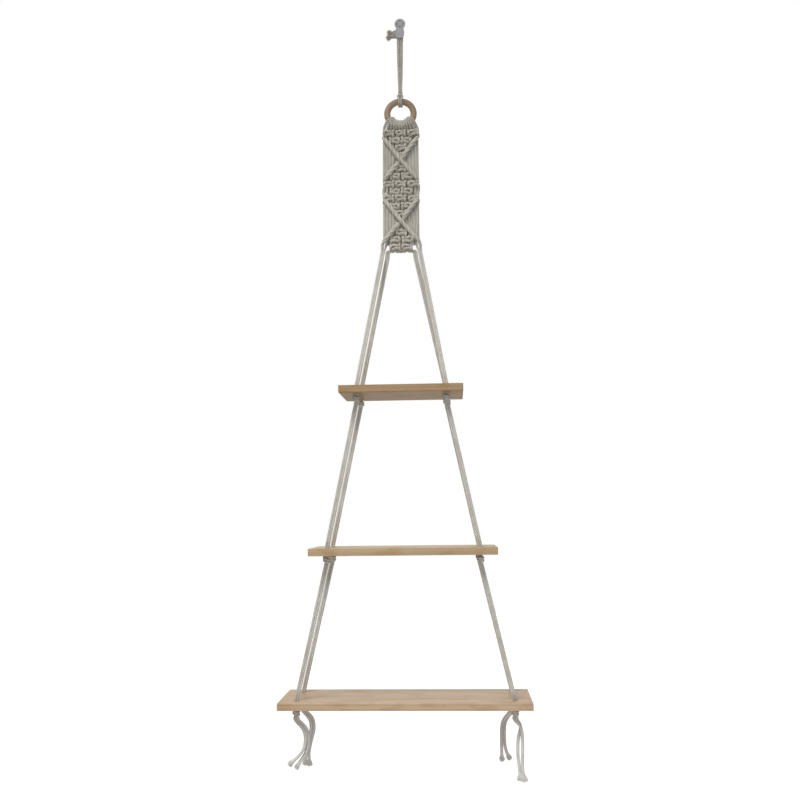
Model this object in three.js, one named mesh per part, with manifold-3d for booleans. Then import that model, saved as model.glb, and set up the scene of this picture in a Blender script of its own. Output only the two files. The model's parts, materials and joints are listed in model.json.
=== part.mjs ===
// A hanging rope shelf as a scene graph of separate solids, in millimetres with +Z up.
// The origin is the centre of the hook's back face. The wall is the plane Y = 0, the shelf hangs in front
// of it towards -Y, and +X points to the right of someone who faces it.

import * as THREE from 'three';
import { mergeVertices } from 'three/addons/utils/BufferGeometryUtils.js';
import Module from 'manifold-3d';

const wasm = await Module();
wasm.setup();

// Clearances
const seatGap = 0.3;
const wrapGap = 0.5;
const holeGap = 0.6;
const wallGap = 0.5;
const overrun = 1;
const mergeDistance = 0.0001;

// Cotton cord: every strand has this radius, and two strands side by side press into each other a little
const cordRadius = 2;
const pairPitch = 3.3;

// Boards, listed from the top one down
const boardDepth = 130;
const boardThickness = 12;
const boardEase = 0.8;
const topBoardLength = 200;
const middleBoardLength = 300;
const bottomBoardLength = 400;
const topBoardDrop = 661;
const middleBoardDrop = 260;
const bottomBoardDrop = 240;
const holeEndInset = 27;
const holeEdgeInset = 27;

// Knots under the boards
const knotRadius = 6.6;
const knotHeight = 13;
const knotCoilRadius = 4.9;
const knotCoilTilt = 0.5;
const knotOutlineShares = [[0, 0], [0.7, 0], [0.95, 0.25], [1, 0.75], [0.9, 1], [0, 1]];

// Wall hook: a round plate with a neck, a peg and an upright tongue in front
const plateRadius = 9.5;
const plateThickness = 2.6;
const neckWidth = 11;
const neckDrop = 25.5;
const pegDrop = 18.5;
const pegRadius = 2.4;
const hookValley = 8.4;
const tongueThickness = 2.4;
const tongueWidth = 15;
const tongueTopDrop = 12;
const tongueBottomDrop = 31;
const tongueCorner = 5;
const nailCircleRadius = 5.4;
const nailHeadRadius = 1.3;
const nailHeadThickness = 0.7;
const nailShankRadius = 0.6;

// Hanging loop, with its own knot beside the peg and two short cord ends
const loopKnotLength = 9.6;
const loopKnotWidth = 9;
const loopKnotThickness = 7.2;
const upperEndReach = 9.5;
const upperEndRise = 3.6;
const lowerEndReach = 11;
const lowerEndDrop = 8.2;
const hitchBarLength = 9;
const hitchBarForward = 3;

// Wooden ring
const ringDrop = 155;
const ringRadius = 23;
const ringBarRadius = 5.5;

// Knotted band, measured down from the ring's centre
const squareKnotWidth = 17;
const squareKnotHeight = 12.4;
const squareKnotThickness = 9;
const knotBarHeight = 7.6;
const knotBarSlant = 0.16;
const knotColumnPitch = 20;
const knotRowPitch = 13;
const knotLinkRadius = 2.8;
const linkInsetShare = 0.35;
const knotStrandPitch = 4.2;
const upperNetDrop = 41;
const upperCrossFall = 20;
const middleNetFall = 14;
const lowerCrossFall = 16;
const lowerNetFall = 24;
const bandEndFall = 22;
const crossCordRadius = 3.2;
const crossSlack = 1.4;
const crossReach = 27;
const crossRise = 36;
const footReach = 31;
const footFall = 42;
const sideStrandPitch = 3.6;
const sideStrandReach = 31;
const wrapSpacing = Math.PI / 18;
const upperNetRows = [3, 2, 1];
const middleNetRows = [1, 2, 3, 2, 3, 2, 1];
const lowerNetRows = [1, 2, 1];
const strandsPerKnot = 4;
const sideStrandCount = 5;

// Where the ropes leave the band, from its middle
const frontRopeReach = 30;
const backRopeReach = 20;

// Facets
const strandSides = 6;
const tubeSides = 8;
const roundCapSteps = 2;
const pointedCapSteps = 1;
const ringSides = 10;
const ringSteps = 36;
const wrapSides = 6;
const wrapSteps = 10;
const knotSides = 8;
const barSides = 8;
const barRings = 4;
const cornerSteps = 5;
const pegSides = 12;
const bightSteps = 8;
const crossSteps = 10;
const tailSteps = 13;
const holeSteps = 6;
const nailSides = 6;

// Sizes worked out from the ones above
const upperCrossDrop = upperNetDrop + (upperNetRows.length - 1) * knotRowPitch + upperCrossFall;
const middleNetDrop = upperCrossDrop + middleNetFall;
const lowerCrossDrop = middleNetDrop + (middleNetRows.length - 1) * knotRowPitch + lowerCrossFall;
const lowerNetDrop = lowerCrossDrop + lowerNetFall;
const bandDrop = lowerNetDrop + bandEndFall;
const pegDepth = plateThickness + hookValley / 2;
const hookDepth = plateThickness + hookValley + tongueThickness;
const bightRadius = pegRadius + wrapGap + cordRadius;
const wrapRadius = ringBarRadius + wrapGap + cordRadius;
const holeRadius = pairPitch / 2 + cordRadius + holeGap;
const holeFrontY = -(wallGap + boardDepth - holeEdgeInset);
const holeBackY = -(wallGap + holeEdgeInset);
const lean = Math.atan2(-(holeFrontY + holeBackY) / 2 - pegDepth, topBoardDrop - pegDrop);
const pivotDrop = seatGap + cordRadius;
const strandDepth = cordRadius + seatGap + crossCordRadius;
const crossDepth = squareKnotThickness / 2 + seatGap + crossCordRadius;
const crossStep = 2 * crossCordRadius + crossSlack;

const finish = (color, roughness, metalness) => {
  return new THREE.MeshStandardMaterial({ color, roughness, metalness, flatShading: true });
};
const cottonMaterial = finish(0xb4ab9c, 0.95, 0);
const boardMaterial = finish(0xc9b08a, 0.7, 0);
const ringMaterial = finish(0xb99a72, 0.6, 0);
const hookMaterial = finish(0xa6a9ae, 0.5, 0);
const nailMaterial = finish(0x55585c, 0.4, 1);

// Turns a closed geometry into a solid that can be joined and cut.
function solidOf(geometry) {
  const bare = geometry.clone();
  bare.deleteAttribute('normal');
  bare.deleteAttribute('uv');
  const merged = mergeVertices(bare, mergeDistance);
  const corners = merged.index.array;
  const kept = [];
  for (let i = 0; i < corners.length; i += 3) {
    const [a, b, c] = corners.slice(i, i + 3);
    if (a !== b && b !== c && a !== c) kept.push(a, b, c);
  }
  const mesh = new wasm.Mesh({
    numProp: 3,
    vertProperties: Float32Array.from(merged.attributes.position.array),
    triVerts: Uint32Array.from(kept),
  });
  return new wasm.Manifold(mesh);
}

function joined(solids) {
  return solids.reduce((whole, next) => whole.add(next));
}

// Makes the named mesh of a solid and hangs it in a group.
function addPiece(group, name, solid, material) {
  const { vertProperties, triVerts } = solid.getMesh();
  const geometry = new THREE.BufferGeometry();
  geometry.setAttribute('position', new THREE.BufferAttribute(vertProperties, 3));
  geometry.setIndex(new THREE.BufferAttribute(triVerts, 1));
  const mesh = new THREE.Mesh(geometry, material);
  mesh.name = name;
  group.add(mesh);
}

const point = (x, y, z) => new THREE.Vector3(x, y, z);

// A straight strand whose ends are centred on its two end points. More cap steps make the ends rounder.
function strand(start, end, radius = cordRadius, capSteps = pointedCapSteps) {
  const along = end.clone().sub(start);
  const length = along.length();
  const outline = [];
  for (let i = 0; i <= capSteps; i += 1) {
    const angle = (i / capSteps - 1) * Math.PI / 2;
    outline.push(new THREE.Vector2(radius * Math.cos(angle), radius * Math.sin(angle)));
  }
  for (let i = 0; i <= capSteps; i += 1) {
    const angle = (i / capSteps) * Math.PI / 2;
    outline.push(new THREE.Vector2(radius * Math.cos(angle), length + radius * Math.sin(angle)));
  }
  const geometry = new THREE.LatheGeometry(outline, strandSides, Math.PI / 2);
  geometry.applyQuaternion(new THREE.Quaternion().setFromUnitVectors(point(0, 1, 0), along.normalize()));
  geometry.translate(start.x, start.y, start.z);
  return solidOf(geometry);
}

// Two strands side by side along X.
function ropePair(start, end, capSteps = roundCapSteps) {
  const side = point(pairPitch / 2, 0, 0);
  const left = strand(start.clone().sub(side), end.clone().sub(side), cordRadius, capSteps);
  const right = strand(start.clone().add(side), end.clone().add(side), cordRadius, capSteps);
  return left.add(right);
}

// A tube along a smooth curve through the given points.
function tube(points, radius, steps) {
  const section = new THREE.Shape();
  for (let i = 0; i < tubeSides; i += 1) {
    const angle = i / tubeSides * 2 * Math.PI;
    const corner = [radius * Math.cos(angle), radius * Math.sin(angle)];
    if (i === 0) section.moveTo(...corner);
    else section.lineTo(...corner);
  }
  section.closePath();
  const extrudePath = new THREE.CatmullRomCurve3(points);
  return solidOf(new THREE.ExtrudeGeometry(section, { steps, extrudePath, bevelEnabled: false }));
}

// A flat plate in the XZ plane, whose back is at the given depth in front of the wall.
function uprightPlate(shape, backDepth, thickness) {
  const options = { depth: thickness, bevelEnabled: false, curveSegments: cornerSteps };
  const geometry = new THREE.ExtrudeGeometry(shape, options);
  geometry.rotateX(Math.PI / 2);
  geometry.translate(0, -backDepth, 0);
  return solidOf(geometry);
}

// A round bar along Y, between two depths in front of the wall.
function depthBar(x, z, radius, backDepth, frontDepth, sides) {
  const geometry = new THREE.CylinderGeometry(radius, radius, frontDepth - backDepth, sides);
  geometry.translate(x, -(backDepth + frontDepth) / 2, z);
  return solidOf(geometry);
}

function nailPlaces() {
  return [
    ['top', 0, nailCircleRadius],
    ['left', -nailCircleRadius, 0],
    ['right', nailCircleRadius, 0],
    ['bottom', 0, -nailCircleRadius],
  ];
}

function hookPlate() {
  const half = neckWidth / 2;
  const neckTop = Math.sqrt(plateRadius ** 2 - half ** 2);
  const startAngle = -Math.atan2(neckTop, half);
  const shape = new THREE.Shape();
  shape.absarc(0, 0, plateRadius, startAngle, Math.PI - startAngle, false);
  shape.absarc(0, half - neckDrop, half, Math.PI, 2 * Math.PI, false);
  shape.closePath();
  return uprightPlate(shape, 0, plateThickness);
}

function hookTongue() {
  const reach = tongueWidth / 2 - tongueCorner;
  const top = -tongueTopDrop - tongueCorner;
  const bottom = tongueCorner - tongueBottomDrop;
  const shape = new THREE.Shape();
  [[reach, top], [-reach, top], [-reach, bottom], [reach, bottom]].forEach(([x, z], i) => {
    shape.absarc(x, z, tongueCorner, i * Math.PI / 2, (i + 1) * Math.PI / 2, false);
  });
  shape.closePath();
  return uprightPlate(shape, plateThickness + hookValley, tongueThickness);
}

function addHook(group) {
  const pegFront = hookDepth - tongueThickness / 2;
  const peg = depthBar(0, -pegDrop, pegRadius, plateThickness / 2, pegFront, pegSides);
  let body = joined([hookPlate(), peg, hookTongue()]);
  for (const [, x, z] of nailPlaces()) {
    const hole = depthBar(x, z, nailShankRadius + seatGap, -overrun, plateThickness + overrun, nailSides);
    body = body.subtract(hole);
  }
  addPiece(group, 'hook_body', body, hookMaterial);
}

// Each nail is shown up to the wall plane, with its head just proud of the plate.
function addNails(group) {
  for (const [side, x, z] of nailPlaces()) {
    const headBack = plateThickness + seatGap;
    const shank = depthBar(x, z, nailShankRadius, 0, headBack + nailHeadThickness / 2, nailSides);
    const head = depthBar(x, z, nailHeadRadius, headBack, headBack + nailHeadThickness, nailSides);
    addPiece(group, `hook_nail_${side}`, shank.add(head), nailMaterial);
  }
}

// A folded cord's two turns round the ring's bar, side by side, at an angle from the ring's lowest point.
function ringWrap(angle) {
  const geometry = new THREE.TorusGeometry(wrapRadius, cordRadius, wrapSides, wrapSteps);
  geometry.rotateY(Math.PI / 2);
  geometry.scale((pairPitch / 2 + cordRadius) / cordRadius, 1, 1);
  geometry.translate(0, 0, -ringRadius);
  geometry.rotateY(-angle);
  return solidOf(geometry);
}

function loopBight() {
  const points = [];
  for (let i = 0; i <= bightSteps; i += 1) {
    const angle = Math.PI * i / bightSteps;
    points.push(point(bightRadius * Math.cos(angle), 0, bightRadius * Math.sin(angle)));
  }
  return tube(points, cordRadius, bightSteps);
}

function loopKnot() {
  const geometry = new THREE.SphereGeometry(1, knotSides, barRings);
  geometry.scale(loopKnotWidth / 2, loopKnotThickness / 2, loopKnotLength / 2);
  const knotX = -(bightRadius + cordRadius);
  geometry.translate(knotX, 0, 0);
  const knotEdge = knotX - loopKnotWidth / 4;
  const upperEnd = strand(point(knotEdge, 0, 0), point(knotEdge - upperEndReach, 0, upperEndRise));
  const lowerStart = point(knotEdge, 0, -cordRadius);
  const lowerEnd = strand(lowerStart, point(knotEdge - lowerEndReach, 0, -lowerEndDrop));
  return joined([solidOf(geometry), upperEnd, lowerEnd]);
}

// The loop hangs on the peg at this group's origin and is hitched to the top of the ring.
function addLoop(group) {
  const wrap = ringWrap(Math.PI).translate(0, 0, -ringDrop);
  const hitchTop = ringRadius + wrapRadius - ringDrop;
  const legs = [-1, 1].map((side) => {
    return strand(point(side * bightRadius, 0, 0), point(side * pairPitch / 2, 0, hitchTop));
  });
  const barHalf = hitchBarLength / 2 - cordRadius / 2;
  const barZ = hitchTop + cordRadius;
  const hitchBar = strand(point(-barHalf, -hitchBarForward, barZ), point(barHalf, -hitchBarForward, barZ));
  addPiece(group, 'hanging_loop', joined([loopBight(), ...legs, wrap, hitchBar, loopKnot()]), cottonMaterial);
}

function addRing(group) {
  const geometry = new THREE.TorusGeometry(ringRadius, ringBarRadius, ringSides, ringSteps);
  geometry.rotateX(Math.PI / 2);
  addPiece(group, 'wooden_ring', solidOf(geometry), ringMaterial);
}

// The knots of a net, row by row, each row centred under the last and stepped down by one pitch.
function netKnots(rowCounts, firstDrop) {
  return rowCounts.map((count, row) => {
    const places = [];
    for (let i = 0; i < count; i += 1) {
      places.push(point((i - (count - 1) / 2) * knotColumnPitch, 0, -firstDrop - row * knotRowPitch));
    }
    return places;
  });
}

function knotBar(centre, rise, slant) {
  const geometry = new THREE.SphereGeometry(1, barSides, barRings);
  geometry.scale(squareKnotWidth / 2, squareKnotThickness / 2, knotBarHeight / 2);
  geometry.rotateY(slant);
  geometry.translate(centre.x, centre.y, centre.z + rise);
  return solidOf(geometry);
}

function squareKnot(centre) {
  const rise = (squareKnotHeight - knotBarHeight) / 2;
  return knotBar(centre, rise, knotBarSlant).add(knotBar(centre, -rise, -knotBarSlant));
}

// A net of square knots, each tied by cords to the nearest knots of the next row.
function net(rows) {
  const solids = rows.flat().map(squareKnot);
  for (let row = 1; row < rows.length; row += 1) {
    for (const upper of rows[row - 1]) {
      const near = rows[row].filter((lower) => Math.abs(lower.x - upper.x) < knotColumnPitch);
      solids.push(...near.map((lower) => {
        const start = upper.clone().lerp(lower, linkInsetShare);
        return strand(start, lower.clone().lerp(upper, linkInsetShare), knotLinkRadius);
      }));
    }
  }
  return joined(solids);
}

// The folded cords on the ring: the turns of each, and its two strands down to the first knots.
function ringHitches(firstRow) {
  const turnsReach = ringRadius + wrapRadius;
  const solids = [];
  const count = firstRow.length * strandsPerKnot;
  for (let i = 0; i < count; i += 1) {
    const angle = (i - (count - 1) / 2) * wrapSpacing;
    const knot = firstRow[Math.floor(i / strandsPerKnot)];
    const shift = (i % strandsPerKnot - (strandsPerKnot - 1) / 2) * knotStrandPitch;
    const start = point(turnsReach * Math.sin(angle), 0, -turnsReach * Math.cos(angle));
    solids.push(strand(start, point(knot.x + shift, 0, knot.z + squareKnotHeight / 4)));
    if (i % 2 === 0) solids.push(ringWrap(angle + wrapSpacing / 2));
  }
  return solids;
}

// A cord laid slantwise across the front of the band, from in front of the side strands on one side to the
// other. The under cord dips behind the over cord where they cross.
function crossCord(side, drop, rise, fall, endReach, endDepth, dips) {
  const middleDepth = dips ? crossDepth - crossStep : crossDepth;
  const points = [
    point(-side * crossReach, -strandDepth, rise - drop),
    point(-side * crossReach / 2, -crossDepth, rise / 2 - drop),
    point(-side * crossReach / 4, -crossDepth, rise / 4 - drop),
    point(0, -middleDepth, -drop),
    point(side * endReach / 4, -crossDepth, -fall / 4 - drop),
    point(side * endReach / 2, -crossDepth, -fall / 2 - drop),
    point(side * endReach, -endDepth, -fall - drop),
  ];
  return tube(points, crossCordRadius, crossSteps);
}

const knotsAt = (knots, reach) => knots.filter((knot) => Math.abs(knot.x - reach) < squareKnotWidth / 2);

// Straight strands side by side at one edge of the band, between the knots above and those below. The
// outermost strands come out of the outermost knots.
function sideStrands(side, knotsAbove, knotsBelow) {
  const outermost = knotColumnPitch + squareKnotWidth / 4;
  const solids = [];
  for (let i = 0; i < sideStrandCount; i += 1) {
    const reach = sideStrandReach - i * sideStrandPitch;
    const tied = Math.min(reach, outermost);
    const half = squareKnotHeight / 2;
    const lowest = Math.min(...knotsAt(knotsAbove, tied).map((knot) => knot.z - half));
    const highest = Math.max(-bandDrop, ...knotsAt(knotsBelow, tied).map((knot) => knot.z + half));
    const start = point(side * reach, 0, lowest - pivotDrop);
    solids.push(strand(start, point(side * reach, 0, highest + pivotDrop)));
  }
  return joined(solids);
}

function addBand(group) {
  const upper = netKnots(upperNetRows, upperNetDrop);
  const middle = netKnots(middleNetRows, middleNetDrop);
  const lower = netKnots(lowerNetRows, lowerNetDrop);
  addPiece(group, 'band_upper_net', joined([net(upper), ...ringHitches(upper[0])]), cottonMaterial);
  addPiece(group, 'band_middle_net', net(middle), cottonMaterial);
  addPiece(group, 'band_lower_net', net(lower), cottonMaterial);
  const upperCross = (side, dips) => {
    return crossCord(side, upperCrossDrop, crossRise, crossRise, crossReach, crossDepth, dips);
  };
  const lowerCross = (side, dips) => {
    return crossCord(side, lowerCrossDrop, crossRise, footFall, footReach, strandDepth, dips);
  };
  addPiece(group, 'band_upper_over_cord', upperCross(1, false), cottonMaterial);
  addPiece(group, 'band_upper_under_cord', upperCross(-1, true), cottonMaterial);
  addPiece(group, 'band_lower_over_cord', lowerCross(1, false), cottonMaterial);
  addPiece(group, 'band_lower_under_cord', lowerCross(-1, true), cottonMaterial);
  for (const [name, side] of [['left', -1], ['right', 1]]) {
    const upperStrands = sideStrands(side, upper.flat(), middle.flat());
    const lowerStrands = sideStrands(side, middle.flat(), lower.flat());
    addPiece(group, `band_upper_${name}_strands`, upperStrands, cottonMaterial);
    addPiece(group, `band_lower_${name}_strands`, lowerStrands, cottonMaterial);
  }
}

function holePlaces(length) {
  const reach = length / 2 - holeEndInset;
  return [
    ['left_front', -reach, holeFrontY],
    ['left_back', -reach, holeBackY],
    ['right_front', reach, holeFrontY],
    ['right_back', reach, holeBackY],
  ];
}

function addBoard(group, name, length, topZ) {
  const half = length / 2;
  const shape = new THREE.Shape();
  shape.moveTo(-half, -wallGap);
  shape.lineTo(-half, -wallGap - boardDepth);
  shape.lineTo(half, -wallGap - boardDepth);
  shape.lineTo(half, -wallGap);
  shape.closePath();
  for (const [, x, y] of holePlaces(length)) {
    const hole = new THREE.Path();
    hole.absarc(x, y, holeRadius, 0, 2 * Math.PI, true);
    shape.holes.push(hole);
  }
  const geometry = new THREE.ExtrudeGeometry(shape, {
    depth: boardThickness - 2 * boardEase,
    bevelThickness: boardEase,
    bevelSize: boardEase,
    bevelOffset: -boardEase,
    bevelSegments: 1,
    curveSegments: holeSteps,
  });
  geometry.translate(0, 0, topZ - boardThickness + boardEase);
  addPiece(group, name, solidOf(geometry), boardMaterial);
}

// A knot below a board, with the two strands that fill the hole above it up to the board's top face.
function boardKnot(x, y, topZ) {
  const outline = knotOutlineShares.map(([r, h]) => new THREE.Vector2(r * knotRadius, h * knotHeight));
  const core = new THREE.LatheGeometry(outline, knotSides);
  core.rotateX(Math.PI / 2);
  const knotTop = topZ - boardThickness - seatGap;
  core.translate(x, y, knotTop - knotHeight);
  const coil = new THREE.TorusGeometry(knotCoilRadius, cordRadius, wrapSides, knotSides);
  coil.rotateY(knotCoilTilt);
  coil.translate(x, y, knotTop - knotHeight / 2);
  const neck = ropePair(point(x, y, knotTop - cordRadius), point(x, y, topZ - cordRadius), pointedCapSteps);
  return joined([solidOf(core), solidOf(coil), neck]);
}

function addKnots(group, level, length, topZ) {
  for (const [place, x, y] of holePlaces(length)) {
    addPiece(group, `${level}_knot_${place}`, boardKnot(x, y, topZ), cottonMaterial);
  }
}

// The height of a rope's upper pivot, under the knots of the board above it, and of its lower pivot.
const upperPivotZ = (topZ) => topZ - boardThickness - seatGap - knotHeight - pivotDrop;
const lowerPivotZ = (topZ) => topZ + pivotDrop;

// The ropes from the band to the top board.
function addTopRopes(group, hanging, length, topZ) {
  hanging.updateWorldMatrix(true, false);
  for (const [place, x, y] of holePlaces(length)) {
    const reach = place.endsWith('front') ? frontRopeReach : backRopeReach;
    const start = hanging.localToWorld(point(Math.sign(x) * reach, 0, -ringDrop - bandDrop - cordRadius));
    addPiece(group, `top_rope_${place}`, ropePair(start, point(x, y, lowerPivotZ(topZ))), cottonMaterial);
  }
}

// The ropes from one board down to the next.
function addRopes(group, level, lengthAbove, topZAbove, length, topZ) {
  const above = holePlaces(lengthAbove);
  holePlaces(length).forEach(([place, x, y], i) => {
    const start = point(above[i][1], above[i][2], upperPivotZ(topZAbove));
    const end = point(x, y, lowerPivotZ(topZ));
    addPiece(group, `${level}_rope_${place}`, ropePair(start, end), cottonMaterial);
  });
}

// The free cord ends below the bottom board, as steps in X, Y and Z from each one's start under its knot.
const tailRoutes = {
  left_front_a: [
    [0, 0, 0], [0, 0, -2.4], [1.55, -0.9, -5.7], [5.95, -1.7, -10.5], [10.85, -1.8, -15.7],
    [14.55, -1.7, -21.7], [16.45, -1.6, -27.9], [16.95, -1.6, -34.3], [16.35, -1.6, -40.9],
    [14.55, -1.7, -47.3], [11.75, -1.8, -53.3], [7.75, -1.8, -58.5], [3.15, -1.8, -63.1],
    [-1.45, -1.6, -67.3], [-5.85, -1.4, -71.7],
  ],
  left_front_b: [
    [0, 0, 0], [0, 0, -2.4], [1.35, 0.9, -5.7], [5.85, 1.7, -10.3], [10.95, 1.8, -15.3],
    [14.75, 1.7, -21.3], [16.65, 1.6, -27.7], [17.15, 1.6, -34.5], [16.65, 1.6, -41.7],
    [15.05, 1.7, -48.7], [12.55, 1.8, -55.3], [9.25, 1.8, -61.3], [5.65, 1.8, -66.7],
    [2.25, 1.8, -71.7], [-0.55, 1.8, -76.7],
  ],
  left_back_a: [
    [0, 0, 0], [0, 0, -2.4], [1.75, -0.9, -5.7], [6.45, -1.7, -10.3], [10.95, -1.7, -15.5],
    [13.75, -1.2, -21.5], [14.95, -0.8, -27.9], [15.05, -0.6, -34.5], [13.95, -0.6, -41.3],
    [12.15, -0.6, -47.9], [10.35, -0.6, -54.5], [8.85, -0.6, -61.3], [7.35, -0.6, -67.9],
    [6.25, -0.6, -74.7], [5.65, -0.6, -81.7], [5.15, -0.6, -88.3],
  ],
  left_back_b: [
    [0, 0, 0], [0, 0, -2.4], [1.65, 0.9, -5.7], [6.45, 1.7, -10.3], [11.15, 1.7, -15.3],
    [13.95, 1.2, -21.3], [15.15, 0.8, -27.7], [15.25, 0.6, -34.5], [14.05, 0.6, -41.3],
    [12.15, 0.6, -47.9], [10.35, 0.6, -54.5], [8.85, 0.6, -61.3], [7.45, 0.6, -68.1],
    [6.55, 0.6, -75.1], [6.85, 0.6, -82.3], [8.05, 0.6, -89.3],
  ],
  right_front_a: [
    [0, 0, 0], [0, 0, -2.4], [1.55, -1.3, -5.2], [5.55, -2.4, -9.2], [9.15, -2.6, -13.7],
    [11.15, -2.5, -19.7], [12.15, -1.9, -26.7], [12.55, -1.2, -34.1], [12.65, -0.7, -41.7],
    [12.55, -0.5, -49.7], [12.35, -0.5, -57.7], [12.05, -0.5, -65.7], [11.75, -0.5, -73.1],
    [11.75, -0.5, -79.3], [12.35, -0.5, -85.1], [13.55, -0.5, -90.3], [14.55, -0.5, -94.5],
  ],
  right_front_b: [
    [0, 0, 0], [0, 0, -2.4], [0.85, 1.3, -5.4], [3.25, 2.3, -9.4], [5.05, 2.5, -13.3],
    [5.45, 2.6, -16.7], [4.45, 2.5, -22.1], [2.65, 2.1, -28.7], [1.25, 1.5, -36.1],
    [0.55, 1, -43.7], [0.35, 0.7, -51.7], [0.45, 0.5, -59.7], [1.05, 0.5, -67.7],
    [1.85, 0.5, -75.3], [2.45, 0.5, -81.7], [2.85, 0.5, -87.7], [2.65, 0.5, -93.3],
  ],
  right_back_a: [
    [0, 0, 0], [0, 0, -2.4], [-1.45, -0.9, -5.6], [-5.55, -1.7, -10], [-9.85, -1.7, -14.7],
    [-13.35, -1.2, -20.3], [-15.45, -0.8, -26.5], [-16.35, -0.6, -33.1], [-16.65, -0.5, -39.9],
    [-16.85, -0.5, -46.9], [-16.95, -0.5, -53.9], [-17.05, -0.5, -60.9], [-17.05, -0.5, -67.9],
    [-16.95, -0.5, -74.7], [-16.65, -0.5, -81.1],
  ],
  right_back_b: [
    [0, 0, 0], [0, 0, -2.4], [-1.35, 0.9, -5.6], [-5.45, 1.7, -10.2], [-9.85, 1.7, -15.1],
    [-13.25, 1.2, -20.7], [-15.35, 0.8, -26.7], [-16.25, 0.6, -33.1], [-16.55, 0.5, -39.9],
    [-16.65, 0.5, -46.9], [-16.55, 0.5, -53.9], [-16.05, 0.5, -60.7], [-14.85, 0.5, -67.3],
    [-12.85, 0.5, -73.3], [-10.35, 0.5, -78.9],
  ],
};

function addTails(group, length, topZ) {
  const startZ = topZ - boardThickness - seatGap - knotHeight - seatGap;
  for (const [place, x, y] of holePlaces(length)) {
    for (const [name, side] of [['a', -1], ['b', 1]]) {
      const startX = x + side * (cordRadius + seatGap / 2);
      const route = tailRoutes[`${place}_${name}`];
      const points = route.map(([dx, dy, dz]) => point(startX + dx, y + dy, startZ + dz));
      addPiece(group, `tail_${place}_${name}`, tube(points, cordRadius, tailSteps), cottonMaterial);
    }
  }
}

const shelf = new THREE.Group();

const wallFixing = new THREE.Group();
addHook(wallFixing);
addNails(wallFixing);
shelf.add(wallFixing);

// Everything from the peg to the foot of the band lies along one line, which leans away from the wall.
const hanging = new THREE.Group();
hanging.position.set(0, -pegDepth, -pegDrop);
hanging.rotation.x = -lean;
addLoop(hanging);
const band = new THREE.Group();
band.position.set(0, 0, -ringDrop);
addRing(band);
addBand(band);
hanging.add(band);
shelf.add(hanging);

const topZ = -topBoardDrop;
const middleZ = topZ - middleBoardDrop;
const bottomZ = middleZ - bottomBoardDrop;

addTopRopes(shelf, hanging, topBoardLength, topZ);
addRopes(shelf, 'middle', topBoardLength, topZ, middleBoardLength, middleZ);
addRopes(shelf, 'bottom', middleBoardLength, middleZ, bottomBoardLength, bottomZ);
for (const [level, length, z] of [
  ['top', topBoardLength, topZ],
  ['middle', middleBoardLength, middleZ],
  ['bottom', bottomBoardLength, bottomZ],
]) {
  addBoard(shelf, `${level}_shelf`, length, z);
  addKnots(shelf, level, length, z);
}
addTails(shelf, bottomBoardLength, bottomZ);

export default shelf;
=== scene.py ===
# A hanging rope shelf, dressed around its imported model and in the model's frame: the wall is the plane Y = 0,
# the shelf hangs in front of it towards -Y, and +Z is up. Lengths are in metres unless a comment says more.

import json
import math
import random

import bpy
import numpy as np
from mathutils import Matrix, Vector


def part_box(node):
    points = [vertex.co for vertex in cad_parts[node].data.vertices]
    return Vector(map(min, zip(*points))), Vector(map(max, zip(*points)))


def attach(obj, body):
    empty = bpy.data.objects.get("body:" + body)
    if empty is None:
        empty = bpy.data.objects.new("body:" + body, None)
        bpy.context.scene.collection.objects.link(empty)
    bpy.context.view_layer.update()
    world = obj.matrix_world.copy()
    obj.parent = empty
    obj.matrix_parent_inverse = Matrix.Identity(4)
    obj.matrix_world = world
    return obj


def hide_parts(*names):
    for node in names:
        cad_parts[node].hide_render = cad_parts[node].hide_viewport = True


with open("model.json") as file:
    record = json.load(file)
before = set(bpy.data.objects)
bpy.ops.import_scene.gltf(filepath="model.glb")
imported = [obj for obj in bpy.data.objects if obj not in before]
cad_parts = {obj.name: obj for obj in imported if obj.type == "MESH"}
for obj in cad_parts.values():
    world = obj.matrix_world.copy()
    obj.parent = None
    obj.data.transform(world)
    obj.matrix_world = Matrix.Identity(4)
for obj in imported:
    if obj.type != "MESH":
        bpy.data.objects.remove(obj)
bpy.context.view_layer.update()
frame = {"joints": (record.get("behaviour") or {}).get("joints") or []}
scene = bpy.context.scene

# Camera, fitted to the corners of the boards, the hook and the ring
camera_place = Vector((0.0825, -1.7351, -0.869))
camera_turn = math.radians(3.24)
camera_pitch = math.radians(4.89)
camera_roll = math.radians(0.65)
camera_lens = 45.66
camera_shift = (0.0054, 0.035)

# Cotton cord of three twisted plies
cord_radius = 0.0022
pair_pitch = 0.0036
seat_gap = 0.0003
ply_count = 3
ply_depth_share = 0.24
lay_length = 0.012
ply_sides = 5
yarn_sides = 5
crown_place = 0.5 / ply_count
cord_step = 0.0009
curve_parts = 10

# Boards, their holes and the knots under them
hole_inset = 0.027
knot_height = 0.013
edge_round = 0.0009
corner_round = 0.0012

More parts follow.
